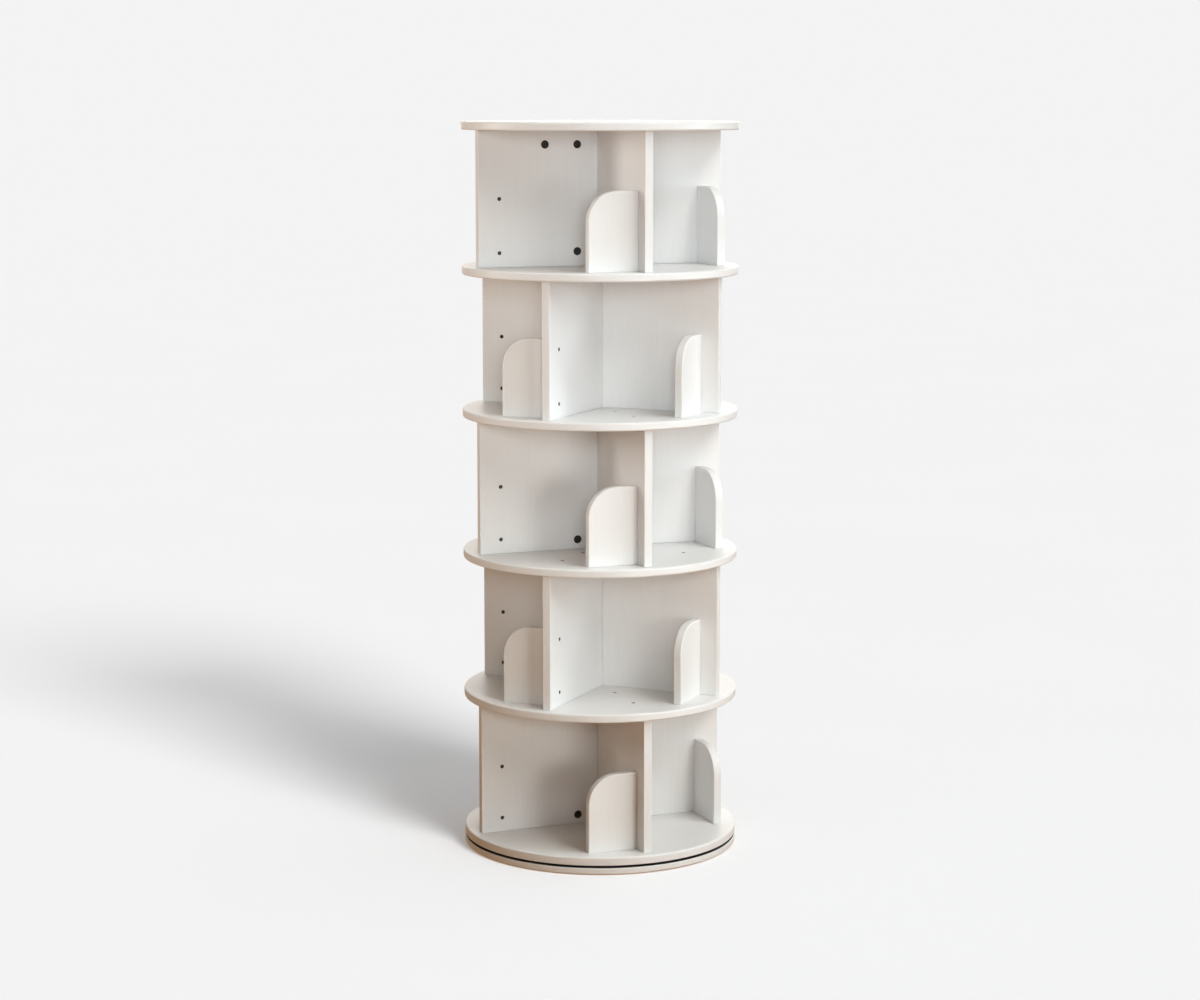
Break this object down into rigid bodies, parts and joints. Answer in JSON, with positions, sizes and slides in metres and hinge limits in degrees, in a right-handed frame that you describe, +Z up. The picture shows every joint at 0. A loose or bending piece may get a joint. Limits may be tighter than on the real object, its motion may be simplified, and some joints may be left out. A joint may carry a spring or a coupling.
{
  "type": "revolving bookcase",
  "caption": "Floor-standing revolving bookcase: round boards stacked on crossed upright panels with arched bookends, turning on a low ball-bearing base.",
  "frame": {"origin": "on the floor under the turning axis, at the centre of the round base", "axes": "+Z up along the turning axis, -Y front; the odd tiers' crossed panels lie along X and Y, the even tiers' are turned by 45 degrees"},
  "size_m": [0.4999, 0.5, 1.3225],
  "materials": {
    "round_board": "satin warm-white lacquered fibreboard, rounded rim",
    "upright_panel": "satin warm-white lacquered fibreboard",
    "bookend": "satin warm-white lacquered fibreboard, rounded rim",
    "felt_pad": "dense grey felt",
    "black_screw": "black zinc, hexagon socket",
    "black_cam": "black lacquered die casting, cross recess",
    "zinc_steel": "bright zinc plate",
    "bearing_steel": "polished steel balls",
    "cage_plastic": "black moulded cage",
    "beech_dowel": "bare fluted beech"
  },
  "bodies": {
    "base": {"base_board": "round_board", "foot_pads": "felt_pad", "turntable_lower_ring": "zinc_steel", "turntable_lower_screws": "zinc_steel"},
    "tower": {"bookend_screws": "black_screw", "bottom_board": "round_board", "cam_locks": "black_cam", "dowels": "beech_dowel", "shelf_board_1": "round_board", "shelf_board_2": "round_board", "shelf_board_3": "round_board", "shelf_board_4": "round_board", "shelf_screws_downward": "black_screw", "shelf_screws_upward": "black_screw", "side_cam_bolts": "zinc_steel", "tier_1_bookend_front": "bookend", "tier_1_bookend_left": "bookend", "tier_1_bookend_rear": "bookend", "tier_1_bookend_right": "bookend", "tier_1_half_panel_left": "upright_panel", "tier_1_half_panel_right": "upright_panel", "tier_1_long_panel": "upright_panel", "tier_2_bookend_front_left": "bookend", "tier_2_bookend_front_right": "bookend", "tier_2_bookend_rear_left": "bookend", "tier_2_bookend_rear_right": "bookend", "tier_2_half_panel_front_right": "upright_panel", "tier_2_half_panel_rear_left": "upright_panel", "tier_2_long_panel": "upright_panel", "tier_3_bookend_front": "bookend", "tier_3_bookend_left": "bookend", "tier_3_bookend_rear": "bookend", "tier_3_bookend_right": "bookend", "tier_3_half_panel_left": "upright_panel", "tier_3_half_panel_right": "upright_panel", "tier_3_long_panel": "upright_panel", "tier_4_bookend_front_left": "bookend", "tier_4_bookend_front_right": "bookend", "tier_4_bookend_rear_left": "bookend", "tier_4_bookend_rear_right": "bookend", "tier_4_half_panel_front_right": "upright_panel", "tier_4_half_panel_rear_left": "upright_panel", "tier_4_long_panel": "upright_panel", "tier_5_bookend_front": "bookend", "tier_5_bookend_left": "bookend", "tier_5_bookend_rear": "bookend", "tier_5_bookend_right": "bookend", "tier_5_half_panel_left": "upright_panel", "tier_5_half_panel_right": "upright_panel", "tier_5_long_panel": "upright_panel", "top_board": "round_board", "top_cam_bolts": "zinc_steel", "turntable_upper_ring": "zinc_steel", "turntable_upper_screws": "zinc_steel"},
    "ball_cage": {"turntable_ball_cage": "cage_plastic", "turntable_balls": "bearing_steel"}
  },
  "joints": [
    {"name": "tower_spin", "type": "hinge", "parent": "base", "child": "tower", "pos_m": [0, 0, 0.01525], "axis": [0, 0, 1], "continuous": true},
    {"name": "cage_spin", "type": "hinge", "parent": "base", "child": "ball_cage", "pos_m": [0, 0, 0.01525], "axis": [0, 0, 1], "continuous": true}
  ],
  "couplings": [
    {"joint": "cage_spin", "follows": "tower_spin", "ratio": 0.5}
  ]
}
